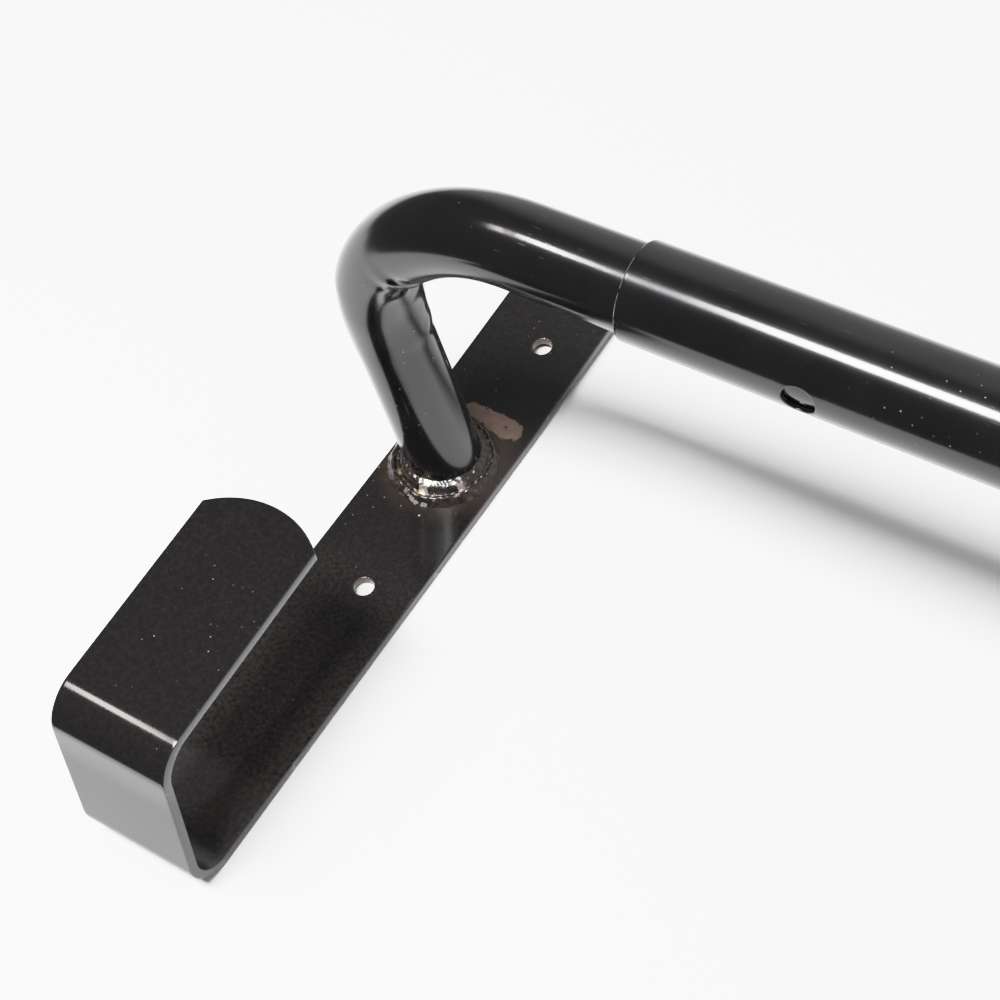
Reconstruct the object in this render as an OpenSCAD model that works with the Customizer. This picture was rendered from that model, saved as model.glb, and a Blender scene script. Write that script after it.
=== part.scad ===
// Telescoping door security bar.
// A straight sleeve joins two bent end tubes. Each end tube slides in the sleeve, is held by a spring
// button, and turns down to a flat steel strip whose one end is folded back on itself as a hook.
// Millimetres, +Z up. The origin is midway between the two strips, in the plane of their undersides.

/* [Sleeve] */
// Length of the sleeve
sleeve_len = 600; // [590:10:900]
// Outside diameter of the sleeve
sleeve_d = 28; // [27.5:0.1:30]

/* [Bent end tubes] */
// Outside diameter of an end tube
tube_d = 25; // [24:0.1:26]
// Wall of an end tube
tube_wall = 1.5; // [1:0.1:2]
// Gap all round between an end tube and the sleeve's bore
slide_gap = 0.05; // [0.02:0.01:0.1]
// Radius of the tube bend, at the middle of the tube
tube_bend_r = 55.5; // [45:0.5:60]
// Height of the bar's axis above the undersides of the strips
bar_height = 124.5; // [115:0.5:140]
// Angle at which a leg leans outwards, away from the sleeve
leg_lean = 9.3; // [0:0.1:12]
// Distance of a leg's foot from the middle of its strip, away from the sleeve
foot_shift = 1; // [0:0.5:1]
// Distance from the middle of a strip to the sleeve's end, with the bar closed
mouth_gap = 80; // [75:1:110]
// Length of tube beyond the button
tube_tail = 45; // [40:1:50]

/* [Lock holes] */
// Diameter of the holes for the buttons
lock_hole_d = 9.5; // [9:0.1:10]
// Distance of the outermost hole from the sleeve's end
first_hole = 52.5; // [40:0.5:60]
// Distance between two holes
hole_pitch = 75; // [60:1:80]
// Number of holes at each end of the sleeve
hole_count = 3; // [2:1:3]
// Angle of the row of holes below the horizontal, on the hooks' side
hole_turn = 5; // [0:1:15]

/* [Spring buttons] */
// Gap all round between a button and its hole
button_gap = 0.1; // [0.1:0.05:0.2]
// Height that a button stands out of the sleeve
button_stand = 3; // [2:0.5:4]
// Thickness of the leaf spring
leaf_t = 0.8; // [0.5:0.1:1]
// Width of the leaf spring
leaf_w = 8; // [6:0.5:8]
// Length of each sloping arm of the leaf spring
leaf_arm = 28; // [24:1:30]

/* [Hook strips] */
// Width of the strip
strip_w = 40; // [40:1:50]
// Thickness of the strip
strip_t = 3; // [2.5:0.5:4]
// Inside radius of the hook's two folds
fold_r = 10; // [6:0.5:12]
// Distance from the bar's axis to the corner of the first fold, before rounding
hook_reach = 163.3; // [155:0.1:180]
// Height of the hook's outer corner above the underside of the strip, before rounding
hook_h = 65; // [55:1:80]
// Angle at which the hook's upright leans in over the strip
upright_lean = 7; // [0:0.5:10]
// Angle at which the hook's top plate rises towards its free end
plate_rise = 3.3; // [0:0.1:5]
// Length of the top plate, from the outer corner to the tip of its rounded end
plate_len = 81.1; // [70:0.1:90]
// Length of the plain end of the strip, from the bar's axis to the tip of its rounded end
tail_len = 90; // [80:1:110]
// Radius of the rounded ends of the strip
end_r = 30; // [25:1:40]
// Distance from the bar's axis at which the plain end starts to rise, just past the weld
rise_start = 20; // [20:1:26]
// Angle at which the plain end rises, pulled up by the weld as it cools
tail_rise = 2.8; // [0:0.1:4]
// Diameter of the two screw holes in each strip
screw_hole_d = 6.5; // [5:0.1:8]
// Distance between the two screw holes
screw_pitch = 108; // [100:1:116]
// Distance of the screw holes from the middle of the strip, towards the sleeve
screw_shift = 3; // [0:0.5:5]

/* [Weld] */
// Radius of the round face of the weld bead
bead_r = 5.9; // [4:0.1:6]

/* [Hidden] */
$fn = 96;
eps = 1;
// Angle between two points of a bend in a strip or leaf
bend_step = 4;

sleeve_bore_d = tube_d + 2 * slide_gap;
tube_r = tube_d / 2;
tube_bore_r = tube_r - tube_wall;
strip_x = sleeve_len / 2 + mouth_gap;

// The bend turns the tube from the leaning leg to the level bar
tube_turn = 90 + leg_lean;
bend_z = bar_height - tube_bend_r;
leg_top_z = bend_z - tube_bend_r * sin(leg_lean);
leg_len = (leg_top_z - strip_t) / cos(leg_lean);
bend_x = tube_bend_r * cos(leg_lean) - leg_len * sin(leg_lean) - foot_shift;
// Extra leg below the strip's top face, cut off level
leg_extra = 10;
// The bend is drawn in a little, and runs on inside the straight tube by a small angle
draw_in = 0.1;
bend_lap = 0.5;

// With the bar closed the button is in the innermost hole
button_x = mouth_gap + first_hole + (hole_count - 1) * hole_pitch;
tube_end_x = button_x + tube_tail;

// Button, measured outwards from the bar's axis
button_d = lock_hole_d - 2 * button_gap;
button_top = sleeve_d / 2 + button_stand;
flange_d = 12.4;
flange_t = 1;
flange_base = 8;
dome_r = 6;
dome_base = button_top - dome_r + sqrt(dome_r * dome_r - button_d * button_d / 4);
cup_d = 6;
cup_depth = 5;

// Leaf spring: a pad under the button, a V of two arms, and a foot on the far wall
leaf_pad = 14;
leaf_fold_r = 2;
leaf_foot = 10.1;
leaf_slope = asin(((flange_base + leaf_foot) / 2 - leaf_fold_r - leaf_t) / leaf_arm);

// Straight lengths of the strip from its plain end to its hook, less what its three bends take up
fold_out_r = fold_r + strip_t;
strip_turns = [tail_rise, 90 + upright_lean, 90 - upright_lean - plate_rise];
strip_takes = [for (turn = strip_turns) fold_out_r * tan(turn / 2)];
tail_flat = tail_len - rise_start - strip_takes[0];
plain_flat = rise_start - strip_takes[0];
hook_flat = hook_reach - strip_takes[1];
upright_flat = hook_h / cos(upright_lean) - strip_takes[1] - strip_takes[2];
plate_flat = plate_len - strip_takes[2];
strip_flats = [tail_flat, plain_flat + hook_flat, upright_flat, plate_flat];

// The bar's axis is off the middle of the strips by half the difference of their two reaches
hook_far = hook_flat + fold_out_r;
tail_far = rise_start + (tail_len - rise_start) * cos(tail_rise);
bar_y = (hook_far - tail_far) / 2;

// Centre of the bead's round face, just outside the tube and a little below the strip's top
bead_out = 0.4;
bead_drop = 1.2;

BLACK = [0.06, 0.06, 0.065];
SATIN = [0.12, 0.11, 0.11];
WELD = [0.30, 0.27, 0.25];
STEEL = [0.70, 0.70, 0.72];

// Places one end of the bar: X = 0 at the middle of its strip, Y = 0 on the bar's axis, X towards the sleeve
module left_end() {
    translate([-strip_x, bar_y, 0]) children();
}

module right_end() {
    mirror([1, 0, 0]) left_end() children();
}

// Turns +Z to the side of the bar where the lock holes are
module lock_side() {
    rotate([90 + hole_turn, 0, 0]) children();
}

module center_sleeve() {
    color(BLACK)
    translate([0, bar_y, bar_height])
    difference() {
        rotate([0, 90, 0]) cylinder(d = sleeve_d, h = sleeve_len, center = true);
        rotate([0, 90, 0]) cylinder(d = sleeve_bore_d, h = sleeve_len + 2 * eps, center = true);
        for (side = [-1, 1], i = [0 : hole_count - 1])
            translate([side * (sleeve_len / 2 - first_hole - i * hole_pitch), 0, 0])
            lock_side() cylinder(d = lock_hole_d, h = sleeve_d);
    }
}

// A bent tube as a solid rod: leg, bend and level run
module bent_rod(r) {
    translate([bend_x, 0, bar_height])
    rotate([0, 90, 0]) cylinder(r = r, h = tube_end_x - bend_x);
    translate([bend_x, 0, bend_z])
    rotate([90, 0, 0]) rotate([0, 0, 90 - bend_lap]) rotate_extrude(angle = tube_turn + 2 * bend_lap)
    translate([tube_bend_r, 0]) circle(r = r - draw_in);
    leg_rod(r);
}

module leg_rod(r) {
    translate([-foot_shift, 0, strip_t])
    rotate([0, -leg_lean, 0]) translate([0, 0, -leg_extra]) cylinder(r = r, h = leg_len + leg_extra);
}

module bent_tube() {
    color(BLACK)
    difference() {
        bent_rod(tube_r);
        bent_rod(tube_bore_r);
        translate([tube_end_x - eps, 0, bar_height])
        rotate([0, 90, 0]) cylinder(r = tube_bore_r, h = 2 * eps);
        translate([-tube_d, -tube_d, strip_t - 2 * leg_extra]) cube([2 * tube_d, 2 * tube_d, 2 * leg_extra]);
        translate([button_x, 0, bar_height]) lock_side() cylinder(d = lock_hole_d, h = sleeve_d);
    }
}

// A strip bent from flats and turns is drawn as its edge, in X and Y, with its outer face below.
// heading is the direction of flat i, and the outer face of the first flat starts at the origin.
function heading(start, turns, i) = i == 0 ? start : heading(start, turns, i - 1) + turns[i - 1];

function bend_centre(start, flats, turns, r, i) =
    let (h = heading(start, turns, i))
    flat_start(start, flats, turns, r, i) + flats[i] * [cos(h), sin(h)] + r * [-sin(h), cos(h)];

function flat_start(start, flats, turns, r, i) =
    i == 0 ? [0, 0] :
    let (h = heading(start, turns, i))
    bend_centre(start, flats, turns, r, i - 1) + r * [sin(h), -cos(h)];

// The points of face_r, the radius of one face at every bend, of a strip whose outer radius is r
function face_points(start, flats, turns, r, face_r) = [
    flat_start(start, flats, turns, r, 0) + (r - face_r) * [-sin(start), cos(start)],
    for (i = [0 : len(turns) - 1])
        let (steps = ceil(turns[i] / bend_step), h = heading(start, turns, i))
        for (k = [0 : steps])
            let (a = h + turns[i] * k / steps)
            bend_centre(start, flats, turns, r, i) + face_r * [sin(a), -cos(a)],
    let (n = len(turns), h = heading(start, turns, n))
    flat_start(start, flats, turns, r, n) + flats[n] * [cos(h), sin(h)] + (r - face_r) * [-sin(h), cos(h)]
];

function backwards(list) = [for (i = [len(list) - 1 : -1 : 0]) list[i]];

module bent_strip(start, flats, turns, inner_r, t, w) {
    outer = face_points(start, flats, turns, inner_r + t, inner_r + t);
    inner = face_points(start, flats, turns, inner_r + t, inner_r);
    linear_extrude(w, center = true) polygon(concat(outer, backwards(inner)));
}

// Places children at the start of flat i of the hook strip, X along the flat and Y through it
module on_flat(i) {
    start = flat_start(-tail_rise, strip_flats, strip_turns, fold_out_r, i);
    translate([start.x, start.y, 0]) rotate([0, 0, heading(-tail_rise, strip_turns, i)]) children();
}

// Cuts the square end of a flat to an arc. The end is at X = 0, and the strip lies on the -X side
module round_end_cut() {
    translate([-end_r, -eps, 0]) rotate([-90, 0, 0])
    linear_extrude(strip_t + 2 * eps) difference() {
        translate([0, -strip_w]) square([end_r + eps, 2 * strip_w]);
        circle(r = end_r);
    }
}

module screw_hole(along) {
    translate([along, -eps, -screw_shift]) rotate([-90, 0, 0]) cylinder(d = screw_hole_d, h = strip_t + 2 * eps);
}

module hook_strip() {
    base_start = flat_start(-tail_rise, strip_flats, strip_turns, fold_out_r, 1);
    color(SATIN)
    rotate([90, 0, -90])
    translate([-base_start.x - plain_flat, -base_start.y, 0])
    difference() {
        bent_strip(-tail_rise, strip_flats, strip_turns, fold_r, strip_t, strip_w);
        on_flat(0) mirror([1, 0, 0]) round_end_cut();
        on_flat(3) translate([plate_flat, 0, 0]) round_end_cut();
        on_flat(0) screw_hole(tail_len - screw_pitch / 2);
        on_flat(1) screw_hole(plain_flat + screw_pitch / 2);
    }
}

module weld_bead() {
    color(WELD)
    difference() {
        translate([-foot_shift, 0, strip_t])
        rotate_extrude()
        intersection() {
            translate([tube_r + bead_out, -bead_drop]) circle(r = bead_r);
            translate([tube_bore_r, 0]) square(2 * bead_r);
        }
        leg_rod(tube_r);
    }
}

module snap_button() {
    color(STEEL)
    translate([button_x, 0, bar_height])
    lock_side()
    difference() {
        union() {
            translate([0, 0, flange_base]) cylinder(d = flange_d, h = flange_t);
            translate([0, 0, flange_base]) cylinder(d = button_d, h = dome_base - flange_base);
            intersection() {
                translate([0, 0, button_top - dome_r]) sphere(r = dome_r);
                translate([0, 0, dome_base - eps]) cylinder(d = button_d, h = button_d);
            }
        }
        translate([0, 0, flange_base - eps]) cylinder(d = cup_d, h = cup_depth + eps);
    }
}

module button_spring() {
    color(STEEL)
    translate([button_x, 0, bar_height])
    lock_side()
    translate([-leaf_pad / 2, 0, flange_base])
    rotate([-90, 0, 0])
    bent_strip(0, [leaf_pad, leaf_arm, leaf_arm, leaf_pad], [leaf_slope, 180 - 2 * leaf_slope, leaf_slope],
        leaf_fold_r, leaf_t, leaf_w);
}

center_sleeve();
left_end() bent_tube();  // left_bent_tube
right_end() bent_tube();  // right_bent_tube
left_end() hook_strip();  // left_hook_strip
right_end() hook_strip();  // right_hook_strip
left_end() weld_bead();  // left_weld_bead
right_end() weld_bead();  // right_weld_bead
left_end() snap_button();  // left_snap_button
right_end() snap_button();  // right_snap_button
left_end() button_spring();  // left_button_spring
right_end() button_spring();  // right_button_spring
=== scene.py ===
import math

import bmesh
import bpy
import numpy as np
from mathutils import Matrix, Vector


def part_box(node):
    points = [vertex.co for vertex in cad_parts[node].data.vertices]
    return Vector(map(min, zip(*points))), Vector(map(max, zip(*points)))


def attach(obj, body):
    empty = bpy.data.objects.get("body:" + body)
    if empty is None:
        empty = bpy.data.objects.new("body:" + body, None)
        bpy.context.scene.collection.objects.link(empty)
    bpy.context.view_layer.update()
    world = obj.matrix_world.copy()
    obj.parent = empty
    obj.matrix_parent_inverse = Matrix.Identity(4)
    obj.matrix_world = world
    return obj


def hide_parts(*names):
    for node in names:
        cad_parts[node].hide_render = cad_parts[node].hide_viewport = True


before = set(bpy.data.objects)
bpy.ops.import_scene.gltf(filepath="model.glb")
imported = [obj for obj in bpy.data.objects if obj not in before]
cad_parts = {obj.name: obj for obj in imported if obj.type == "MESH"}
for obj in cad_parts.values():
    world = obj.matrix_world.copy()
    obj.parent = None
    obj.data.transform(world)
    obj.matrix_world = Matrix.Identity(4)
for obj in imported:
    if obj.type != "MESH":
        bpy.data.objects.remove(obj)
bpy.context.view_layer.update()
MM = 0.001

# ---- Camera ----
# Stands over the left end of the bar and looks down along it, so the sleeve runs out of the frame.
camera = bpy.data.objects.new("camera", bpy.data.cameras.new("camera"))
camera.data.lens = 69.91
camera.data.sensor_width = 36
camera.data.clip_start = 0.01
camera.location = (-0.11151, -0.24778, 0.50172)
camera.rotation_euler = [math.radians(a) for a in (36.0385, 6.8133, 32.1663)]
bpy.context.scene.collection.objects.link(camera)
bpy.context.scene.camera = camera

# ---- Studio ----
# A white card under four level softboxes, in a dark room. A pale wall on one side only shows as a
# reflection in the enamel. The card fades out from TABLE_FADE[0] to TABLE_FADE[1] of the middle,
# and in front along a line TABLE_EDGE before TABLE_ORIGIN, square to TABLE_SIDE.
TABLE_HALF = 2.0
TABLE_FADE = (0.80, 1.35)
TABLE_EDGE = 0.216
TABLE_SOFT = 0.024
TABLE_SIDE = (0.2, 0.98)
TABLE_DROP = 0.2 * MM
TABLE_ORIGIN = (-0.38, 0.0358)
TABLE_WHITE = (0.86, 0.86, 0.87, 1)
# Each lamp: its name, place, size, watts and tint
LAMPS = (
    ("end_lamp", (-1.34, -0.42, 1.64), (0.18, 0.34), 4.2, (1, 0.94, 0.9)),
    ("near_lamp", (-1.065, -0.45, 1.64), (0.05, 0.28), 6.5, (1, 1, 1)),
    ("gap_lamp", (-0.91, -0.52, 1.64), (0.22, 0.28), 1.1, (0.8, 0.88, 1)),
    ("far_lamp", (-0.45, -0.50, 1.64), (0.70, 0.36), 66.0, (1, 1, 1)),
)
ROOM_GREY = 0.11
WALL_GREY = 0.78
WALL_SIDE = (0.6, 0.8)
WALL_SOFT = 0.36
BACKDROP_GREY = 2.3
# Shoulder of the exposure: linear light, and what it is printed as
WHITE_LIGHT = 4.0
SHOULDER = ((0.40, 0.40), (0.75, 0.68), (1.3, 0.86), (2.2, 0.945), (4.0, 1.0))


class Shade:
    """A socket of a finish's nodes. Arithmetic on it adds Math nodes."""

    def __init__(self, finish, socket):
        self.finish, self.socket = finish, socket

    def _math(self, operation, first, second=0.0):
        return self.finish.add("ShaderNodeMath", {"operation": operation}, {0: first, 1: second})

    def __add__(self, other):
        return self._math("ADD", self, other)

    def __radd__(self, other):
        return self._math("ADD", other, self)

    def __sub__(self, other):
        return self._math("SUBTRACT", self, other)

    def __rsub__(self, other):
        return self._math("SUBTRACT", other, self)

    def __mul__(self, other):
        return self._math("MULTIPLY", self, other)

    def __rmul__(self, other):
        return self._math("MULTIPLY", other, self)

    def __truediv__(self, other):
        return self._math("DIVIDE", self, other)

    def __pow__(self, other):
        return self._math("POWER", self, other)

    def __abs__(self):
        return self._math("ABSOLUTE", self)

    def ramp(self, start, stop):
        """0 at start and below, 1 at stop and beyond, smooth between. start may be above stop."""
        return self.finish.add(
            "ShaderNodeMapRange",
            {"interpolation_type": "SMOOTHSTEP"},
            {"Value": self, "From Min": start, "From Max": stop},
        )


class Finish:
    """The nodes of one material, or of the room's light."""

    def __init__(self, name, owner=None):
        self.owner = owner or bpy.data.materials.new(name)
        self.owner.use_nodes = True
        self.tree = self.owner.node_tree
        self.tree.nodes.clear()

    def add(self, kind, settings=None, inputs=None, output=0):
        node = self.tree.nodes.new(kind)
        for key, value in (settings or {}).items():
            setattr(node, key, value)
        for key, value in (inputs or {}).items():
            self.feed(node.inputs[key], value)
        return None if output is None else Shade(self, node.outputs[output])

    def feed(self, socket, value):
        if isinstance(value, Shade):
            self.tree.links.new(value.socket, socket)
        else:
            socket.default_value = value

    def blend(self, share, first, second):
        """The first colour where share is 0 and the second where it is 1."""
        return self.add("ShaderNodeMix", {"data_type": "RGBA"}, {0: share, 6: first, 7: second}, 2)

    def where(self):
        """Object coordinates, in metres."""
        return self.add("ShaderNodeTexCoord", output="Object")

    def noise(self, at, scale, detail=3.0, roughness=0.5):
        inputs = {"Vector": at, "Scale": scale, "Detail": detail, "Roughness": roughness}
        return self.add("ShaderNodeTexNoise", {}, inputs)

    def axis(self, at, letter):
        return self.add("ShaderNodeSeparateXYZ", {}, {0: at}, letter)

    def cells(self, at, scale):
        """Scattered cells: the distance to the nearest one's middle, and a chance value of it."""
        inputs = {"Vector": at, "Scale": scale}
        distance = self.add("ShaderNodeTexVoronoi", {}, inputs, "Distance")
        colour = Shade(self, distance.socket.node.outputs["Color"])
        return distance, self.axis(colour, "X")

    def bump(self, strength, distance, height):
        inputs = {"Strength": strength, "Distance": distance, "Height": height}
        return self.add("ShaderNodeBump", {}, inputs)

    def coat(self, inputs):
        """Ends the material in a Principled surface with these inputs, and returns it."""
        surface = self.add("ShaderNodeBsdfPrincipled", {}, inputs)
        self.add("ShaderNodeOutputMaterial", {}, {"Surface": surface}, None)
        return self.owner


floor_mesh = bpy.data.meshes.new("table_top")
corners = [(-1, -1), (1, -1), (1, 1), (-1, 1)]
floor_points = [(x * TABLE_HALF, y * TABLE_HALF, -TABLE_DROP) for x, y in corners]
floor_mesh.from_pydata(floor_points, [], [(0, 1, 2, 3)])
table_top = bpy.data.objects.new("table_top", floor_mesh)
bpy.context.scene.collection.objects.link(table_top)
paper = Finish("white_paper")
on_table = paper.where()
across, behind = paper.axis(on_table, "X"), paper.axis(on_table, "Y")
past_front = (across - TABLE_ORIGIN[0]) * TABLE_SIDE[0]
past_front = past_front + (behind - TABLE_ORIGIN[1]) * TABLE_SIDE[1]
from_middle = (across**2.0 + behind**2.0) ** 0.5
fading = from_middle.ramp(*TABLE_FADE) + past_front.ramp(-TABLE_EDGE, -TABLE_EDGE - TABLE_SOFT)
card = paper.add("ShaderNodeBsdfDiffuse", {}, {"Color": TABLE_WHITE})
nothing = paper.add("ShaderNodeBsdfTransparent")
surface = paper.add("ShaderNodeMixShader", {}, {0: fading.ramp(0.0, 1.0), 1: card, 2: nothing})
paper.add("ShaderNodeOutputMaterial", {}, {"Surface": surface}, None)
floor_mesh.materials.append(paper.owner)

for lamp_name, place, size, watts, tint in LAMPS:
    light = bpy.data.lights.new(lamp_name, "AREA")
    light.shape = "RECTANGLE"
    light.size, light.size_y = size
    light.energy = watts
    light.color = tint
    softbox = bpy.data.objects.new(lamp_name, light)
    softbox.location = place
    bpy.context.scene.collection.objects.link(softbox)

world = bpy.data.worlds.new("room")
bpy.context.scene.world = world
room = Finish("room", world)
ray = room.add("ShaderNodeTexCoord", output="Generated")
toward = room.axis(ray, "X") * WALL_SIDE[0] + room.axis(ray, "Y") * WALL_SIDE[1]
to_wall = toward.ramp(0.0, WALL_SOFT)
glow = ROOM_GREY + to_wall * (WALL_GREY - ROOM_GREY)
seen = room.add("ShaderNodeLightPath", output="Is Camera Ray")
strength = glow + seen * (BACKDROP_GREY - glow)
air = room.add("ShaderNodeBackground", {}, {"Color": (1, 1, 1, 1), "Strength": strength})
room.add("ShaderNodeOutputWorld", {}, {"Surface": air}, None)
print_tone = bpy.context.scene.view_settings
print_tone.view_transform = "Standard"
print_tone.use_curve_mapping = True
tone_curve = print_tone.curve_mapping
tone_curve.white_level = (WHITE_LIGHT,) * 3
tone_curve.extend = "HORIZONTAL"
tone_line = tone_curve.curves[3]
tone_line.points[0].location = (0, 0)
tone_line.points[1].location = (1, 1)
for light_in, light_out in SHOULDER[:-1]:
    tone_line.points.new(light_in / WHITE_LIGHT, light_out)
tone_curve.update()

# ---- Sleeve ----
# The straight outer tube of the bar: drawn steel tube, 28 mm across and 600 mm long, cut square,
# drilled with three lock holes at each end and dipped in gloss black enamel.
sleeve_low, sleeve_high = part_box("center_sleeve")
SLEEVE_HALF = sleeve_high.x
SLEEVE_R = 14.0 * MM
SLEEVE_BORE_R = 12.55 * MM
BAR_Y = 35.855 * MM
BAR_Z = (sleeve_low.z + sleeve_high.z) / 2
HOLE_R = 4.75 * MM
HOLE_TURN = math.radians(95)
FIRST_HOLE = 52.5 * MM
HOLE_PITCH = 75.0 * MM
RIM_ROUND = 0.3 * MM
TUBE_COLUMNS = 96
HOLE_COLUMNS = 8
HOLE_ROWS = 7
HOLE_BLOCK = 7.2 * MM
# Shares of the way from a hole's circle to its block's border where a ring lies
RING_SHARES = (0.0, 0.08, 0.24, 0.46, 0.72)
EDGE_TURNS = (30, 60, 90)
ENAMEL_BLACK = (0.0042, 0.0040, 0.0044, 1)
ENAMEL_CLOUD = (0.0066, 0.0063, 0.0066, 1)
ENAMEL_IOR = 1.5
SCRATCH_GREY = (0.10, 0.10, 0.11, 1)
BARE_STEEL = (0.55, 0.54, 0.52, 1)
# Each set of hair scratches: its turn in radians and its shift
HAIR_LINES = ((0.5, 0.0), (-0.9, 0.31), (1.35, 0.77))
DUST_GREY = (0.42, 0.41, 0.40, 1)


def rows_with_holes(start, stop, centres, step):
    """Even rows from start to stop, with a support row beside each end, and closer rows across
    each hole's block. Returns the rows and, for each hole, its first and last row."""
    rows, spans = [start, start + 2 * RIM_ROUND], []
    for centre in sorted(centres):
        low, high = centre - HOLE_BLOCK, centre + HOLE_BLOCK
        count = max(2, int(math.ceil((low - rows[-1]) / step)) + 1)
        rows += list(np.linspace(rows[-1], low, count))[1:]
        first = len(rows) - 1
        rows += list(np.linspace(low, high, 2 * HOLE_ROWS + 1))[1:]
        spans.append((first, len(rows) - 1))
    last = stop - 2 * RIM_ROUND
    count = max(2, int(math.ceil((last - rows[-1]) / step)) + 1)
    rows += list(np.linspace(rows[-1], last, count))[1:] + [stop]
    return np.array(rows), spans


def make_sheet(rows, columns, holes, around, place, swing, thick, edge):
    """A sheet of even thickness with holes through it, as points and faces.

    The sheet is a grid of rows and columns. place(row, column, depth) is where a point of it
    lies. Each hole takes out a block of cells and fills it with rings that go in even shares from
    the block's border to the hole's circle; swing(across, depth) is how far in columns a distance
    across the hole reaches. Both faces are joined round every edge by a quarter turn of radius
    edge, a straight wall and another quarter turn.
    """
    n_rows, n_columns = len(rows), len(columns)
    grid = np.arange(n_rows * n_columns).reshape(n_rows, n_columns)
    row_of, column_of = [g.ravel() for g in np.meshgrid(rows, columns, indexing="ij")]
    share_of, across_of = np.zeros(grid.size), np.zeros(grid.size)
    right = np.roll(grid, -1, axis=1) if around else grid[:, 1:]
    left = grid if around else grid[:, :-1]
    keep = np.ones((n_rows - 1, right.shape[1]), bool)
    loops, faces = [], []
    out = np.array(RING_SHARES)[:, None]
    for (first, last), (j0, j1), centre, middle, radius in holes:
        keep[first:last, j0:j1] = False
        there = [grid[first:last, j0], grid[last, j0:j1]]
        back = [grid[last:first:-1, j1], grid[first, j1:j0:-1]]
        border = np.concatenate(there + back)
        sideways = (column_of[border] - middle) / swing(1 * MM, 0) * MM
        turn = np.arctan2(sideways, row_of[border] - centre)
        begin = len(row_of)
        ring_rows = (1 - out) * (centre + (radius + edge) * np.cos(turn)) + out * row_of[border]
        ring_columns = (1 - out) * middle + out * column_of[border]
        row_of = np.concatenate([row_of, ring_rows.ravel()])
        column_of = np.concatenate([column_of, ring_columns.ravel()])
        share_of = np.concatenate([share_of, np.broadcast_to(1 - out, ring_rows.shape).ravel()])
        across = np.broadcast_to((radius + edge) * np.sin(turn), ring_rows.shape)
        across_of = np.concatenate([across_of, across.ravel()])
        rings = begin + np.arange(ring_rows.size).reshape(ring_rows.shape)
        rings = np.vstack([rings, border])
        faces.append(bands(rings))

        def rim(offset, depth, turn=turn, centre=centre, middle=middle, radius=radius):
            reach = radius + edge - offset
            return centre + reach * np.cos(turn), middle + swing(reach * np.sin(turn), depth)

        loops.append((rings[0], rim))
    if around:
        for index, sign in ((0, -1), (n_rows - 1, 1)):

            def rim(offset, depth, index=index, sign=sign):
                return rows[index] + sign * offset + 0 * columns, columns

            loops.append((grid[index], rim))
    else:
        ring = np.concatenate([grid[:-1, 0], grid[-1, :-1], grid[:0:-1, -1], grid[0, :0:-1]])
        push_row = (row_of[ring] == rows[-1]) * 1.0 - (row_of[ring] == rows[0])
        push_column = (column_of[ring] == columns[-1]) * 1.0 - (column_of[ring] == columns[0])

        def rim(offset, depth):
            return row_of[ring] + push_row * offset, column_of[ring] + push_column * offset

        loops.append((ring, rim))
    cells = np.stack([left[:-1], left[1:], right[1:], right[:-1]], axis=-1)[keep]
    faces.append(cells.reshape(-1, 4))
    flat = np.concatenate(faces)
    total = len(row_of)
    points = []
    for depth in (0.0, thick):
        points.append(place(row_of, column_of + share_of * swing(across_of, depth), depth))
    all_faces = [flat, flat + total]
    count = 2 * total
    quarter = np.radians(EDGE_TURNS)
    steps = [(edge * math.sin(a), edge * (1 - math.cos(a))) for a in quarter]
    steps += [(o, thick - d) for o, d in steps[::-1]]
    for ring, rim in loops:
        strips = [ring]
        for offset, depth in steps:
            at_row, at_column = rim(offset, depth)
            points.append(place(at_row, at_column, depth))
            strips.append(count + np.arange(len(ring)))
            count += len(ring)
        strips.append(ring + total)
        all_faces.append(bands(np.array(strips)))
    return np.concatenate(points), np.concatenate(all_faces).tolist()


def bands(rings):
    """The quads between each closed ring of points and the next."""
    following = np.roll(rings, -1, axis=1)
    return np.stack([rings[:-1], following[:-1], following[1:], rings[1:]], axis=-1).reshape(-1, 4)


def make_piece(name, points, faces, material, body, nodes):
    """Makes a smooth mesh whose faces look outwards, and fixes it to a body."""
    mesh = bpy.data.meshes.new(name)
    mesh.from_pydata(points.tolist(), [], faces)
    work = bmesh.new()
    work.from_mesh(mesh)
    bmesh.ops.recalc_face_normals(work, faces=work.faces)
    work.to_mesh(mesh)
    work.free()
    mesh.shade_smooth()
    mesh.materials.append(material)
    piece = bpy.data.objects.new(name, mesh)
    bpy.context.scene.collection.objects.link(piece)
    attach(piece, body)
    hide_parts(*nodes)


def tube_swing(radius):
    """For a hole drilled square to a tube's axis: the turn round the tube that a distance across
    the hole makes, which is the arcsine of distance over the radius at that depth."""
    return lambda across, depth: np.arcsin(across / (radius - depth))


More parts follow.
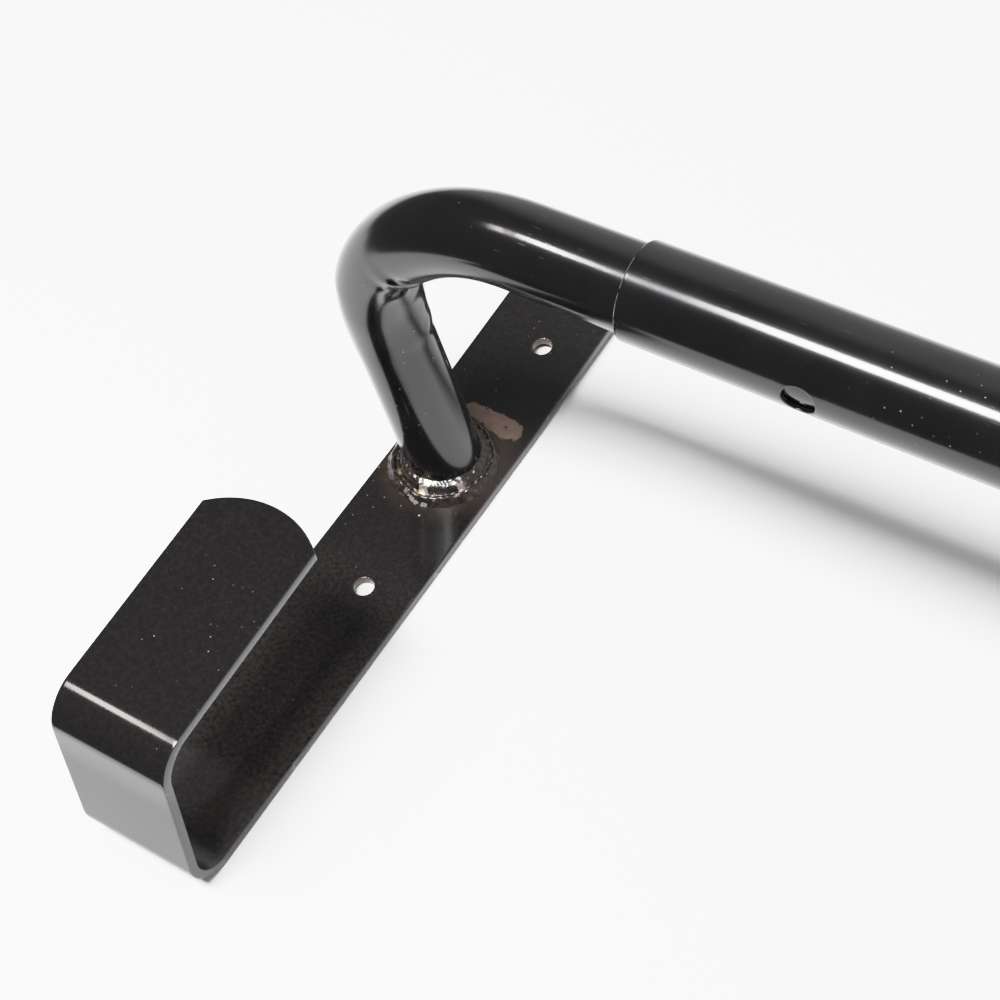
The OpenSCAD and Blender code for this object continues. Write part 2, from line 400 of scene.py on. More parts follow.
def gloss_enamel(name, rim_at, slide_marks):
    """Black stoving enamel: a nearly black body under a clear gloss, with dust, hair scratches, a
    faint orange peel, and bare steel where the tube's cut edge has rubbed."""
    finish = Finish(name)
    at = finish.where()
    x = finish.axis(at, "X")
    peel = finish.noise(at, 420, 2)
    cloud = finish.noise(at, 38, 4, 0.6)
    fine = finish.noise(at, 1900, 2)
    lines = None
    for turn, shift in HAIR_LINES:
        inputs = {"Vector": at, "Location": (shift, shift, 0)}
        inputs.update({"Rotation": (0.2, turn, turn), "Scale": (1.0, 26.0, 1.0)})
        laid = finish.add("ShaderNodeMapping", {}, inputs)
        line = finish.noise(laid, 120, 1).ramp(0.755, 0.79)
        lines = line if lines is None else lines + line
    patchy = finish.noise(at, 55, 2).ramp(0.48, 0.66)
    scratch = (lines * patchy).ramp(0.0, 1.0)
    distance, chance = finish.cells(at, 520)
    spot = (distance + fine * 0.10).ramp(0.19, 0.13)
    dust = spot * chance.ramp(0.55, 1.0) * finish.noise(at, 24, 2).ramp(0.44, 0.60)
    worn = abs(x).ramp(rim_at - RIM_ROUND, rim_at - 0.05 * MM)
    worn = worn * finish.noise(at, 260, 3).ramp(0.42, 0.56)
    colour = finish.blend(cloud.ramp(0.35, 0.8), ENAMEL_BLACK, ENAMEL_CLOUD)
    colour = finish.blend(scratch * 0.35, colour, SCRATCH_GREY)
    colour = finish.blend(dust * 0.55, colour, DUST_GREY)
    colour = finish.blend(worn, colour, BARE_STEEL)
    rough = 0.105 + cloud * 0.08 + scratch * 0.14 + dust * 0.3 + worn * 0.2
    height = peel * 0.010 + fine * 0.0025 + slide_marks * finish.noise(at, 900, 1) * 0.004
    bump = finish.bump(0.35, 0.4 * MM, height)
    inputs = {"Base Color": colour, "Roughness": rough, "Metallic": worn}
    return finish.coat({**inputs, "Normal": bump, "IOR": ENAMEL_IOR})


def sleeve_place(row, column, depth):
    """A straight tube along X: the point at radius less depth, turned from the top towards the
    hooks' side by column."""
    reach = SLEEVE_R - depth
    return np.stack([row, BAR_Y - reach * np.sin(column), BAR_Z + reach * np.cos(column)], axis=-1)


hole_centres = [
    side * (SLEEVE_HALF - FIRST_HOLE - i * HOLE_PITCH) for side in (-1, 1) for i in range(3)
]
sleeve_rows, sleeve_blocks = rows_with_holes(
    -SLEEVE_HALF + RIM_ROUND, SLEEVE_HALF - RIM_ROUND, hole_centres, 9 * MM
)
tube_columns = HOLE_TURN + np.linspace(-math.pi, math.pi, TUBE_COLUMNS, endpoint=False)
hole_span = (TUBE_COLUMNS // 2 - HOLE_COLUMNS, TUBE_COLUMNS // 2 + HOLE_COLUMNS)
sleeve_holes = [
    (block, hole_span, centre, HOLE_TURN, HOLE_R)
    for block, centre in zip(sleeve_blocks, sorted(hole_centres))
]
sleeve_enamel = gloss_enamel("sleeve_enamel", SLEEVE_HALF, 0.0)
points, faces = make_sheet(
    sleeve_rows,
    tube_columns,
    sleeve_holes,
    True,
    sleeve_place,
    tube_swing(SLEEVE_R),
    SLEEVE_R - SLEEVE_BORE_R,
    RIM_ROUND,
)
make_piece(
    "sleeve", points, faces, sleeve_enamel, "sleeve", ["center_sleeve"]
)

# ---- Bent end tubes ----
# Steel tube, 25 mm across with a 1.5 mm wall, turned down on a bending former, which leaves a few
# crush wrinkles inside the bend. Gloss black enamel. The level run slides in the sleeve.
TUBE_R = 12.5 * MM
TUBE_WALL = 1.5 * MM
BEND_R = 55.5 * MM
LEG_LEAN = math.radians(9.3)
LEG_REACH = 80 * MM
STRIP_X = SLEEVE_HALF + LEG_REACH
STRIP_T = 3 * MM
FOOT_X = -1 * MM
BEND_Z = BAR_Z - BEND_R
LEG_LENGTH = (BEND_Z - BEND_R * math.sin(LEG_LEAN) - STRIP_T) / math.cos(LEG_LEAN)
BEND_X = BEND_R * math.cos(LEG_LEAN) - LEG_LENGTH * math.sin(LEG_LEAN) + FOOT_X
BEND_LENGTH = BEND_R * (math.pi / 2 + LEG_LEAN)
BUTTON_X = LEG_REACH + FIRST_HOLE + 2 * HOLE_PITCH
PAST_BUTTON = 45 * MM
TUBE_END_X = BUTTON_X + PAST_BUTTON
LEVEL_START = LEG_LENGTH + BEND_LENGTH
CUT_BLEND = 20 * MM
# Each wrinkle inside the bend: its angle down from the level tube, height, width, and turn round
# the tube from the inside of the bend towards the hooks' side, all in degrees and millimetres
WRINKLES = (
    (62.0, -3.6, 8.0, -12.0),
    (46.5, -0.7, 2.2, 32.0),
    (50.5, 0.55, 1.8, 40.0),
    (54.5, -0.55, 2.0, 36.0),
    (77.0, -1.6, 8.0, -8.0),
    (93.0, 0.5, 4.0, -15.0),
)
WRINKLE_REACH = math.radians(42)
# The bend gives as it is pulled round: its inside is crushed, and its outside and its sides swell.
# Each: height in millimetres, inwards below 0, then the angle down the bend and the spread above
# and below it, in degrees
CRUSH = (-2.6, 60.0, 12.0, 13.0)
SWELL_OUT = (2.3, 71.0, 26.0, 7.8)
SWELL_SIDE = (2.6, 78.0, 26.0, 14.0)
DRAW_IN = 0.20 * MM


def tube_place(side):
    """Leg, bend and level run in one sweep: a circle of the tube's radius less depth, square to a
    path of a straight leg, an arc of BEND_R and a level line. Wrinkles, crush and swell add to the
    radius as bell curves, a height times exp(-(angle off / spread)^2), along the bend, shared round
    it by powers of the cosine and sine. The leg's foot is sheared to end level."""

    def place(row, column, depth):
        reach = TUBE_R - depth + 0 * row
        down = np.degrees((LEVEL_START - row) / BEND_R)
        for angle, height, width, turn in WRINKLES:
            inside = column - math.pi + math.radians(turn)
            inside = (inside + math.pi) % (2 * math.pi) - math.pi
            bell = np.exp(-(((down - angle) / width) ** 2) - (inside / WRINKLE_REACH) ** 2)
            reach = reach + height * MM * bell
        outer = np.clip(np.cos(column), 0, 1) ** 2
        inner = np.clip(-np.cos(column), 0, 1) ** 1.5
        flank = np.abs(np.sin(column)) ** 1.2 * (0.5 + 0.5 * np.cos(column))
        given = ((inner, CRUSH), (outer, SWELL_OUT), (flank, SWELL_SIDE))
        for share, (height, angle, above, below) in given:
            spread = np.where(down < angle, above, below)
            reach = reach + height * MM * share * np.exp(-(((down - angle) / spread) ** 2))
        reach = reach - DRAW_IN * np.clip((down + 4) / 8, 0, 1) * outer
        sheared = np.clip(1 - row / CUT_BLEND, 0, 1)
        along = row + reach * np.cos(column) * math.tan(LEG_LEAN) * sheared
        on_leg = np.minimum(along, LEG_LENGTH)
        in_bend = np.clip(along - LEG_LENGTH, 0, BEND_LENGTH)
        level = np.maximum(along - LEVEL_START, 0)
        beta = math.pi + LEG_LEAN - in_bend / BEND_R
        x = BEND_X + (BEND_R + reach * np.cos(column)) * np.cos(beta)
        z = BEND_Z + (BEND_R + reach * np.cos(column)) * np.sin(beta)
        x = x + (LEG_LENGTH - on_leg) * math.sin(LEG_LEAN) + level
        z = z - (LEG_LENGTH - on_leg) * math.cos(LEG_LEAN)
        y = BAR_Y - reach * np.sin(column)
        return np.stack([side * (STRIP_X - x), y, z], axis=-1)

    return place


button_row = LEVEL_START + BUTTON_X - BEND_X
tube_end_row = LEVEL_START + TUBE_END_X - BEND_X
straight_rows, button_block = rows_with_holes(
    LEVEL_START + 2 * MM, tube_end_row - RIM_ROUND, [button_row], 10 * MM
)
curved_rows = np.concatenate(
    [
        [RIM_ROUND, 3 * RIM_ROUND],
        np.linspace(2 * MM, LEG_LENGTH - 4 * MM, 28),
        np.linspace(LEG_LENGTH - 3 * MM, LEVEL_START, 110),
    ]
)
tube_rows = np.concatenate([curved_rows, straight_rows])
first_row, last_row = button_block[0]
tube_block = (first_row + len(curved_rows), last_row + len(curved_rows))
tube_holes = [(tube_block, hole_span, button_row, HOLE_TURN, HOLE_R)]
tube_enamel = gloss_enamel("tube_enamel", 1.0, 1.0)
for side, name in ((-1, "left"), (1, "right")):
    points, faces = make_sheet(
        tube_rows,
        tube_columns,
        tube_holes,
        True,
        tube_place(side),
        tube_swing(TUBE_R),
        TUBE_WALL,
        RIM_ROUND,
    )
    body, node = name + "_end", name + "_bent_tube"
    make_piece(name + "_tube", points, faces, tube_enamel, body, [node])

# ---- Hook strips ----
# Hot-rolled flat bar, 40 by 3 mm, with both ends sheared to an arc, drilled for two screws, and
# folded twice on a press into a hook. The weld has pulled the plain end up a little. Satin black.
STRIP_W = 40 * MM
FOLD_R = 13 * MM
END_R = 30 * MM
SCREW_R = 3.25 * MM
SCREW_ACROSS = 3 * MM
SCREW_HALF_PITCH = 54 * MM
STRIP_ROUND = 0.35 * MM
TAIL_LENGTH = 90 * MM
RISE_START = 20 * MM
UNDER_HOOK = 163.3 * MM
UPRIGHT_HEIGHT = 65 * MM
PLATE_LENGTH = 81.1 * MM
TAIL_SCREW = 36 * MM
SCREW_BLOCK = 7 * MM
FOLDS = (3, 5)
FOLD_SPREAD = 7 * MM
FOLD_SWELL = 0.012
TAIL_RISE = math.radians(2.8)
UPRIGHT_LEAN = math.radians(7)
PLATE_RISE = math.radians(3.3)
STRIP_TURNS = (TAIL_RISE, math.pi / 2 + UPRIGHT_LEAN, math.pi / 2 - UPRIGHT_LEAN - PLATE_RISE)
STRIP_TAKES = [FOLD_R * math.tan(turn / 2) for turn in STRIP_TURNS]
PLAIN_FLAT = RISE_START - STRIP_TAKES[0]
STRIP_FLATS = (
    TAIL_LENGTH - RISE_START - STRIP_TAKES[0],
    PLAIN_FLAT + UNDER_HOOK - STRIP_TAKES[1],
    UPRIGHT_HEIGHT / math.cos(UPRIGHT_LEAN) - STRIP_TAKES[1] - STRIP_TAKES[2],
    PLATE_LENGTH - STRIP_TAKES[2],
)
ARC_BLEND = 20 * MM


def bent_edge(start, flats, turns, radius):
    """The side view of a strip bent from flats and turns. Returns a function of the length along
    its outer face that gives the point there and the direction through the strip: a straight step
    on a flat, and an arc of the outer radius, turning left, in a bend."""
    pieces, point, heading, length = [], np.zeros(2), start, 0.0
    for i, flat in enumerate(flats):
        pieces.append((length, flat, point.copy(), heading, 0.0))
        point = point + flat * np.array([math.cos(heading), math.sin(heading)])
        length += flat
        if i < len(turns):
            pieces.append((length, turns[i] * radius, point.copy(), heading, 1.0))
            centre = point + radius * np.array([-math.sin(heading), math.cos(heading)])
            heading += turns[i]
            point = centre + radius * np.array([math.sin(heading), -math.cos(heading)])
            length += turns[i] * radius
    starts = np.array([p[0] for p in pieces])

    def edge(row):
        index = np.clip(np.searchsorted(starts, row, side="right") - 1, 0, len(pieces) - 1)
        begin, x0, z0, h0, curved = [
            np.array(v)[index]
            for v in zip(*[(p[0], p[2][0], p[2][1], p[3], p[4]) for p in pieces])
        ]
        step = row - begin
        now = h0 + curved * step / radius
        x = x0 + np.where(curved > 0, radius * (np.sin(now) - np.sin(h0)), step * np.cos(h0))
        z = z0 + np.where(curved > 0, radius * (np.cos(h0) - np.cos(now)), step * np.sin(h0))
        return x, z, -np.sin(now), np.cos(now)

    return edge, starts, length


strip_edge, strip_starts, strip_length = bent_edge(-TAIL_RISE, STRIP_FLATS, STRIP_TURNS, FOLD_R)
axis_row = strip_starts[2] + PLAIN_FLAT
axis_x, axis_z = [v.item() for v in strip_edge(np.array([axis_row]))[:2]]


def strip_place(side):
    """The flat bar on its bent side view, column across it. The last 20 mm of rows are drawn back
    by the end arc's sag, R - sqrt(R^2 - across^2). In a fold the inner face swells sideways."""

    def place(row, column, depth):
        sag = END_R - np.sqrt(END_R**2 - np.clip(column, -END_R, END_R) ** 2)
        row = row + sag * np.clip(1 - row / ARC_BLEND, 0, 1)
        row = row - sag * np.clip(1 - (strip_length - row) / ARC_BLEND, 0, 1)
        x, z, through_x, through_z = strip_edge(row)
        swell = np.zeros_like(row)
        for i in FOLDS:
            middle = (strip_starts[i] + strip_starts[i + 1]) / 2
            swell = swell + np.exp(-(((row - middle) / FOLD_SPREAD) ** 2))
        column = column * (1 + FOLD_SWELL * swell * (2 * depth / STRIP_T - 1))
        along = x - axis_x + through_x * depth
        up = z - axis_z + through_z * depth
        return np.stack([side * (STRIP_X - column), BAR_Y - along, up], axis=-1)

    return place


def flat_swing(across, depth):
    """On a flat sheet a distance across a hole is the same at any depth."""
    return across


def strip_grid():
    """Rows and columns of the strip, with closer rows in its folds and square blocks round its
    screw holes."""
    holes = [TAIL_SCREW, axis_row + SCREW_HALF_PITCH]
    rows, spans = [STRIP_ROUND, 3 * STRIP_ROUND], []

    def walk(to, step):
        count = max(1, int(math.ceil((to - rows[-1]) / step)))
        rows.extend(list(np.linspace(rows[-1], to, count + 1))[1:])

    walk(ARC_BLEND, 1.6 * MM)
    for centre in holes:
        walk(centre - SCREW_BLOCK, 4 * MM)
        first = len(rows) - 1
        walk(centre + SCREW_BLOCK, 1.75 * MM)
        spans.append((first, len(rows) - 1))
    for i in FOLDS:
        walk(strip_starts[i] - 0.5 * MM, 6 * MM)
        walk(strip_starts[i] + 0.5 * MM, 1 * MM)
        walk(strip_starts[i + 1] - 0.5 * MM, 0.6 * MM)
        walk(strip_starts[i + 1] + 0.5 * MM, 1 * MM)
    walk(strip_length - ARC_BLEND, 5 * MM)
    walk(strip_length - 3 * STRIP_ROUND, 1.6 * MM)
    rows.append(strip_length - STRIP_ROUND)
    half = STRIP_W / 2
    low, high = SCREW_ACROSS - SCREW_BLOCK, SCREW_ACROSS + SCREW_BLOCK
    inner = np.linspace(low, high, 9)
    columns = np.concatenate(
        [
            [-half + STRIP_ROUND, -half + 3 * STRIP_ROUND],
            np.linspace(-half + 3 * MM, low - 2 * MM, 7),
            inner,
            np.linspace(high + 1.5 * MM, half - 2.5 * MM, 4),
            [half - 3 * STRIP_ROUND, half - STRIP_ROUND],
        ]
    )
    first = int(np.argmin(abs(columns - inner[0])))
    plan = []
    for span, centre in zip(spans, holes):
        plan.append((span, (first, first + 8), centre, SCREW_ACROSS, SCREW_R))
    return np.array(rows), columns, plan


def satin_enamel():
    """The same black enamel over unpolished bar: it dries satin, mottled and flecked with dust,
    is paler on its low flat towards the hook, is a plain lighter grey on its cut sides, is rubbed
    to grey in patches on its edges, and is burnt brown beside the weld."""
    finish = Finish("strip_enamel")
    at = finish.where()
    x, y, z = (finish.axis(at, letter) for letter in "XYZ")
    inward = STRIP_X - abs(x)
    back = y - BAR_Y
    ragged = finish.noise(at, 240, 4, 0.6)
    mottle = finish.noise(at, 700, 4, 0.65)
    cloud = finish.noise(at, 45, 4, 0.6)
    fleck = finish.noise(at, 1300, 2).ramp(0.62, 0.72)
    lengthwise = abs(inward - 4 * MM) / (11.5 * MM)
    sideways = (back + inward * 0.13 - 21.0 * MM) / (inward * 0.10 + 3.1 * MM)
    burn = (lengthwise ** 4.0 + sideways * sideways + (ragged - 0.5) * 2.4).ramp(1.15, 0.8)
    burn = burn * z.ramp(2 * MM, 2.6 * MM) * z.ramp(12 * MM, 9 * MM)
    from_foot = ((inward + 1 * MM) ** 2.0 + back ** 2.0) ** 0.5
    tint = (from_foot + (ragged - 0.5) * 9 * MM).ramp(27 * MM, 18 * MM) * z.ramp(12 * MM, 9 * MM)
    distance, chance = finish.cells(at, 480)
    spot = (distance + mottle * 0.10).ramp(0.19, 0.12)
    dust = spot * chance.ramp(0.65, 1.0) * finish.noise(at, 34, 2).ramp(0.48, 0.64)
    side = abs(inward).ramp(19.6 * MM, 19.95 * MM)
    rubbed = side * finish.noise(at, 130, 3).ramp(0.60, 0.70)
    satin, satin_pale = (0.0062, 0.0056, 0.0056, 1), (0.0105, 0.0094, 0.0092, 1)
    colour = finish.blend(mottle.ramp(0.35, 0.75), satin, satin_pale)
    colour = finish.blend(fleck * cloud.ramp(0.45, 0.65) * 0.2, colour, (0.060, 0.052, 0.046, 1))
    # The low flat towards the hook is painted paler, in mottled patches.
    paler_low_flat = z.ramp(9 * MM, 4 * MM) * back.ramp(-30 * MM, -100 * MM) * mottle.ramp(0.2, 0.8)
    colour = finish.blend(paler_low_flat, colour, (0.040, 0.035, 0.033, 1))
    colour = finish.blend(tint * 0.6, colour, (0.022, 0.015, 0.011, 1))
    rust_dark, rust_pale = (0.085, 0.052, 0.038, 1), (0.125, 0.080, 0.062, 1)
    rust = finish.blend(ragged.ramp(0.35, 0.65), rust_dark, rust_pale)
    colour = finish.blend(burn * 0.92, colour, rust)
    to_screws = abs(abs(back) - SCREW_HALF_PITCH)
    from_screw = (to_screws**2.0 + (inward - SCREW_ACROSS) ** 2.0) ** 0.5
    bare = (from_screw + ragged * 0.5 * MM).ramp(3.9 * MM, 3.3 * MM) * z.ramp(16 * MM, 14 * MM)
    colour = finish.blend(bare * 0.8, colour, (0.16, 0.10, 0.085, 1))
    colour = finish.blend(dust * 0.35, colour, DUST_GREY)
    # The cut sides are painted a plain lighter grey all along.
    colour = finish.blend(side * 0.6, colour, (0.060, 0.058, 0.058, 1))
    colour = finish.blend(rubbed * 0.3, colour, (0.38, 0.37, 0.36, 1))
    rough = 0.075 + mottle * 0.05 + cloud * 0.04 + tint * 0.12 + burn * 0.40
    rough = rough + dust * 0.3 + side * 0.15
    rough = rough + back.ramp(-120 * MM, -129 * MM) * z.ramp(58 * MM, 40 * MM) * 0.22
    height = mottle * 0.010 + ragged * 0.025 + burn * -0.06
    bump = finish.bump(0.4, 0.4 * MM, height)
    inputs = {"Base Color": colour, "Roughness": rough, "Metallic": rubbed * 0.2}
    return finish.coat({**inputs, "Normal": bump, "IOR": ENAMEL_IOR})


strip_rows, strip_columns, strip_holes = strip_grid()
strip_enamel = satin_enamel()
for side, name in ((-1, "left"), (1, "right")):
    points, faces = make_sheet(
        strip_rows,
        strip_columns,
        strip_holes,
        False,
        strip_place(side),
        flat_swing,
        STRIP_T,
        STRIP_ROUND,
    )
    body, node = name + "_end", name + "_hook_strip"
    make_piece(name + "_strip", points, faces, strip_enamel, body, [node])

# ---- Weld beads ----
# A hand-laid fillet weld round each leg's foot, in two overlapping passes, with ripples and
# spatter, left lumpy and only thinly painted, so that burnt tints show; its bright metal is
# painted only on its front side, partly bare metal and partly painted glint.
BEAD_HEIGHT = 4.7 * MM
BEAD_OUT_R = 18.7 * MM
BEAD_TURNS = 240
BEAD_STEPS = 30
# Each drop of spatter: its turn round the foot in degrees, and its distance and size in millimetres
SPATTER = (
    (216, 22.3, 0.45), (228, 24.9, 0.30), (247, 24.3, 0.40), (263, 22.9, 0.55), (281, 23.6, 0.35),
    (296, 22.9, 0.35), (311, 22.6, 0.45), (170, 18.2, 0.80), (62, 22.5, 0.45), (88, 23.8, 0.50),
    (118, 22.4, 0.40), (134, 22.1, 0.35),
)


def lumps(turn, step, seed):
    """Uneven laying of the bead: a sum of eight sine waves round it and across it, whose counts
    and phases come from a seeded draw."""
    draw = np.random.default_rng(seed)
    total = np.zeros_like(turn)
    for _ in range(8):
        around, over = draw.integers(3, 26), draw.uniform(0, 7)
        phase = draw.uniform(0, 6.3)
        total = total + np.sin(around * turn + over * step + phase) / (1 + around / 9)
    return total / 3


def bead_points(side, seed):
    """Rings round the foot. Across the bead the radius goes from inside the tube's wall to the
    bead's toe, and the height falls to the strip with a groove between the two passes. Ripples are
    crescents: a sine of the turn that lags towards both edges of a pass."""
    turn, step = np.meshgrid(
        np.linspace(0, 2 * math.pi, BEAD_TURNS, endpoint=False), np.linspace(0, 1, BEAD_STEPS)
    )
    facing = np.cos(turn + math.radians(98))
    toe = BEAD_OUT_R + (1.5 * facing + 0.7 * lumps(turn, 0 * turn, seed)) * MM
    inner = TUBE_R - 0.9 * MM
    radius = inner + (toe - inner) * step
    crown = (1 - step) ** 0.85 * (1 + 0.10 * lumps(turn, step, seed + 1))
    groove = 0.34 * np.exp(-(((step - 0.50) / 0.11) ** 2)) * (0.6 + 0.4 * facing)
    uneven = 0.8 + 0.3 * lumps(turn, 0 * turn, seed + 2)
    second = 0.24 * np.exp(-(((step - 0.72) / 0.13) ** 2)) * uneven
    arc = np.abs(step * 2 % 1 - 0.5)
    ripple = 0.030 * np.sin(34 * turn + 9 * arc) * np.sin(math.pi * step)
    toe_round = np.clip((1 - step) / 0.08, 0, 1) ** 0.5
    height = BEAD_HEIGHT * (crown - groove + second + ripple) * toe_round
    height = height + 0.16 * MM * lumps(turn * 2, step * 9, seed + 3)
    height = np.clip(height, -0.1 * MM, 5.4 * MM)
    height[-1] = -0.2 * MM
    lean = -height * math.tan(LEG_LEAN) * (1 - step)
    x = FOOT_X + radius * np.cos(turn) + lean
    y = radius * np.sin(turn)
    rings = np.stack([side * (STRIP_X - x), BAR_Y + y, STRIP_T + height], axis=-1)
    under = rings[[-1, 0]].copy()
    under[:, :, 2] = STRIP_T - 0.6 * MM
    return np.concatenate([rings, under])


def spatter_points(side, turn, reach, size):
    """A small drop: rings of a flattened ball, half sunk in the strip."""
    tilts = np.linspace(0.12, math.pi - 0.12, 9)
    turns = np.linspace(0, 2 * math.pi, 14, endpoint=False)
    tilt, round_ = np.meshgrid(tilts, turns, indexing="ij")
    angle = math.radians(turn)
    x = FOOT_X + reach * MM * math.cos(angle) + size * MM * np.sin(tilt) * np.cos(round_) * 1.2
    y = reach * MM * math.sin(angle) + size * MM * np.sin(tilt) * np.sin(round_)
    z = STRIP_T + 0.15 * size * MM + 0.75 * size * MM * np.cos(tilt)
    return np.stack([side * (STRIP_X - x), BAR_Y + y, z], axis=-1)


def weld_metal():
    """Mild steel weld: dark oxide and black overspray, with bright metal in copper, silver and
    straw tints where broad noise is high. The bright metal is kept to the bead's front, towards
    the bar's middle, so it is partly bare metal and partly painted glint."""
    finish = Finish("weld_steel")
    at = finish.where()
    y, z = finish.axis(at, "Y"), finish.axis(at, "Z")
    broad = finish.noise(at, 170, 3, 0.6)
    small = finish.noise(at, 560, 3, 0.6)
    tone = finish.noise(at, 95, 2)
    # Painted glint: the bright metal is laid only on the bead's front, towards the bar's middle,
    # partly bare metal and partly painted glint.
    front = (y - BAR_Y).ramp(-2 * MM, -12 * MM)
    metal_and_painted_glint = (broad * 0.85 + small * 0.15 + front * 0.05).ramp(0.60, 0.67)
    warm = finish.blend(tone.ramp(0.40, 0.48), (0.30, 0.17, 0.09, 1), (0.60, 0.55, 0.52, 1))
    warm = finish.blend(tone.ramp(0.56, 0.62), warm, (0.74, 0.62, 0.36, 1))
    colour = finish.blend(small.ramp(0.4, 0.6), (0.007, 0.006, 0.006, 1), (0.020, 0.014, 0.011, 1))
    inward = STRIP_X - abs(finish.axis(at, "X"))
    painted_glint_side = (y - BAR_Y).ramp(-5 * MM, -13 * MM) * inward.ramp(-13 * MM, -4 * MM)
    metal_and_painted_glint = metal_and_painted_glint * (0.06 + painted_glint_side * 0.94)
    colour = finish.blend(metal_and_painted_glint, colour, warm)
    rough = 0.20 + small * 0.12
    height = small * 0.14 + broad * 0.25
    bump = finish.bump(0.6, 0.5 * MM, height)
    inputs = {"Base Color": colour, "Roughness": rough, "Metallic": metal_and_painted_glint * 0.85}
    return finish.coat({**inputs, "Normal": bump})


bead_steel = weld_metal()
for side, name, seed in ((-1, "left", 11), (1, "right", 29)):
    rings = bead_points(side, seed)
    index = np.arange(rings.shape[0] * BEAD_TURNS).reshape(rings.shape[0], BEAD_TURNS)
    faces = bands(np.vstack([index, index[:1]])).tolist()
    bead = [rings.reshape(-1, 3)]
    count = index.size
    for turn, reach, size in SPATTER:
        drop = spatter_points(side, turn, reach, size)
        index = count + np.arange(drop[..., 0].size).reshape(drop.shape[:2])
        bead.append(drop.reshape(-1, 3))
        faces += bands(index).tolist() + [index[0].tolist(), index[-1].tolist()]
        count += index.size
    points, body, node = np.concatenate(bead), name + "_end", name + "_weld_bead"
    make_piece(name + "_weld", points, faces, bead_steel, body, [node])

# ---- Snap buttons ----
# Turned and drilled steel, zinc plated: a domed pin on a flange, hollow from below. It stands
# inside the tube on the leaf spring and comes out through both lock holes.
BUTTON_TURNS = 72
# Heights from the bar's axis and radii, in millimetres
PIN_R, BORE_R, FLANGE_R, DOME_R = 4.65, 3, 6.2, 6.0
BUTTON_FOOT, FLANGE_TOP, BORE_TOP, DOME_TOP = 8, 9, 13, 17.0
MID_R = 0.001
CORNER = 0.25


def turned(outline, corner):
    """A half outline of radius and height, each corner rounded by a quadratic curve: (1 - s)^2 of
    where it leaves one side, 2 s (1 - s) of the corner and s^2 of where it meets the next."""
    outline = [np.array(p, float) for p in outline]
    made = [outline[0]]
    for before, here, after in zip(outline, outline[1:], outline[2:]):
        inward, outward = before - here, after - here
        reach = min(corner, np.linalg.norm(inward) / 2.1, np.linalg.norm(outward) / 2.1)
        first = here + inward / np.linalg.norm(inward) * reach
        last = here + outward / np.linalg.norm(outward) * reach
        share = np.linspace(0, 1, 5)[:, None]
        made += list((1 - share) ** 2 * first + 2 * share * (1 - share) * here + share**2 * last)
    made.append(outline[-1])
    return np.array(made)


def zinc():
    """Bright zinc plating, dulled in patches by a fine matt film."""
    finish = Finish("button_zinc")
    at = finish.where()
    film = finish.noise(at, 500, 4, 0.6)
    fine = finish.noise(at, 3000, 2)
    colour = finish.blend(film.ramp(0.35, 0.7), (0.62, 0.63, 0.65, 1), (0.44, 0.45, 0.47, 1))
    bump = finish.bump(0.3, 0.1 * MM, fine * 0.3 + film)
    inputs = {"Base Color": colour, "Roughness": 0.22 + film * 0.25, "Metallic": 1.0}
    return finish.coat({**inputs, "Normal": bump})


dome_low = DOME_TOP - DOME_R + math.sqrt(DOME_R**2 - PIN_R**2)
dome_turn = np.linspace(math.asin(PIN_R / DOME_R), 0, 14)
outline = [(MID_R, BORE_TOP), (BORE_R, BORE_TOP), (BORE_R, BUTTON_FOOT), (FLANGE_R, BUTTON_FOOT)]
outline += [(FLANGE_R, FLANGE_TOP), (PIN_R, FLANGE_TOP), (PIN_R, dome_low)]
dome_height = DOME_TOP - DOME_R + DOME_R * np.cos(dome_turn)
dome_line = np.stack([DOME_R * np.sin(dome_turn), dome_height], axis=-1)
button_line = np.concatenate([turned(outline, CORNER), dome_line[1:-1]]) * MM
LOCK_DOWN = HOLE_TURN - math.pi / 2
button_zinc = zinc()
for side, name in ((-1, "left"), (1, "right")):
    spin = np.linspace(0, 2 * math.pi, BUTTON_TURNS, endpoint=False)
    radius, out = button_line[:, 0][:, None], button_line[:, 1][:, None]
    along = radius * np.cos(spin)
    across = radius * np.sin(spin)
    y = -out * math.cos(LOCK_DOWN) + across * -math.sin(LOCK_DOWN)
    z = -out * math.sin(LOCK_DOWN) + across * math.cos(LOCK_DOWN)
    x = side * (STRIP_X - BUTTON_X - along)
    points = np.stack([x, BAR_Y + y + 0 * along, BAR_Z + z + 0 * along], axis=-1).reshape(-1, 3)
    index = np.arange(radius.size * BUTTON_TURNS).reshape(radius.size, BUTTON_TURNS)
    faces = bands(index).tolist() + [index[0].tolist(), index[-1].tolist()]
    body, node = name + "_button", name + "_snap_button"
    make_piece(
        name + "_button_pin", points, faces, button_zinc, body, [node]
    )

# ---- Button springs ----
# A leaf of blue spring steel, 8 by 0.8 mm, folded to a V inside each tube: one pad pushes the
# button out, and the other bears on the far wall.
LEAF_T = 0.8 * MM
LEAF_HALF = 4 * MM
LEAF_PAD = 14 * MM
LEAF_ARM = 28 * MM
LEAF_FOLD = 2.8 * MM
LEAF_TOP = 8 * MM
LEAF_FOOT = 10.1 * MM
LEAF_SLOPE = math.asin(((LEAF_TOP + LEAF_FOOT) / 2 - LEAF_FOLD) / LEAF_ARM)
LEAF_ROUND = 0.12 * MM
LEAF_TURNS = (LEAF_SLOPE, math.pi - 2 * LEAF_SLOPE, LEAF_SLOPE)
leaf_edge, leaf_starts, leaf_length = bent_edge(
    0.0, (LEAF_PAD, LEAF_ARM, LEAF_ARM, LEAF_PAD), LEAF_TURNS, LEAF_FOLD
)


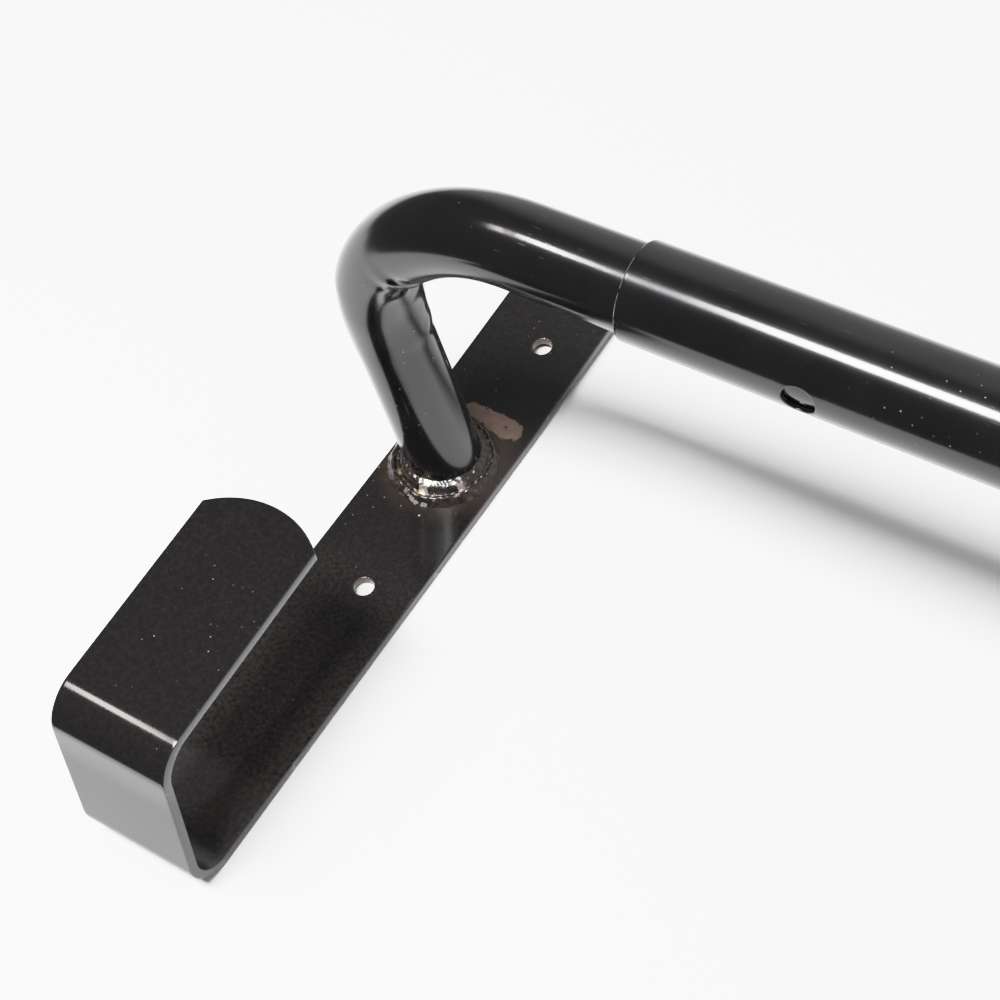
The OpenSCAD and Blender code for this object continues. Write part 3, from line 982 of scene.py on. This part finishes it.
def leaf_place(side):
    """The leaf's side view lies in the plane of the button's axis and the bar, column across it."""

    def place(row, column, depth):
        x, drop, through_x, through_drop = leaf_edge(row)
        along = BUTTON_X - LEAF_PAD / 2 + x + through_x * depth
        out = LEAF_TOP - (drop + through_drop * depth)
        y = -out * math.cos(LOCK_DOWN) - column * math.sin(LOCK_DOWN)
        z = -out * math.sin(LOCK_DOWN) + column * math.cos(LOCK_DOWN)
        return np.stack([side * (STRIP_X - along), BAR_Y + y, BAR_Z + z], axis=-1)

    return place


def blued_steel():
    """Hardened and tempered strip: dark blue-grey, rolled lines along it and an oily film."""
    finish = Finish("leaf_steel")
    at = finish.where()
    rolled = finish.add("ShaderNodeMapping", {}, {"Vector": at, "Scale": (0.06, 1.0, 1.0)})
    lines = finish.noise(rolled, 2600, 2)
    film = finish.noise(at, 220, 3)
    colour = finish.blend(film.ramp(0.35, 0.7), (0.16, 0.18, 0.22, 1), (0.30, 0.30, 0.31, 1))
    bump = finish.bump(0.3, 0.05 * MM, lines)
    inputs = {"Base Color": colour, "Roughness": 0.26 + film * 0.2, "Metallic": 1.0}
    return finish.coat({**inputs, "Normal": bump})


leaf_rows = [LEAF_ROUND, 3 * LEAF_ROUND]
for i in (1, 3, 5):
    leaf_rows += list(np.linspace(leaf_rows[-1], leaf_starts[i], 6))[1:]
    leaf_rows += list(np.linspace(leaf_starts[i], leaf_starts[i + 1], 17 if i == 3 else 7))[1:]
leaf_rows += list(np.linspace(leaf_rows[-1], leaf_length - 3 * LEAF_ROUND, 6))[1:]
leaf_rows.append(leaf_length - LEAF_ROUND)
leaf_columns = np.concatenate(
    [
        [-LEAF_HALF + LEAF_ROUND, -LEAF_HALF + 3 * LEAF_ROUND],
        np.linspace(-3 * MM, 3 * MM, 5),
        [LEAF_HALF - 3 * LEAF_ROUND, LEAF_HALF - LEAF_ROUND],
    ]
)
leaf_steel = blued_steel()
for side, name in ((-1, "left"), (1, "right")):
    points, faces = make_sheet(
        np.array(leaf_rows),
        leaf_columns,
        [],
        False,
        leaf_place(side),
        flat_swing,
        LEAF_T,
        LEAF_ROUND,
    )
    body, node = name + "_end", name + "_button_spring"
    make_piece(name + "_leaf_spring", points, faces, leaf_steel, body, [node])
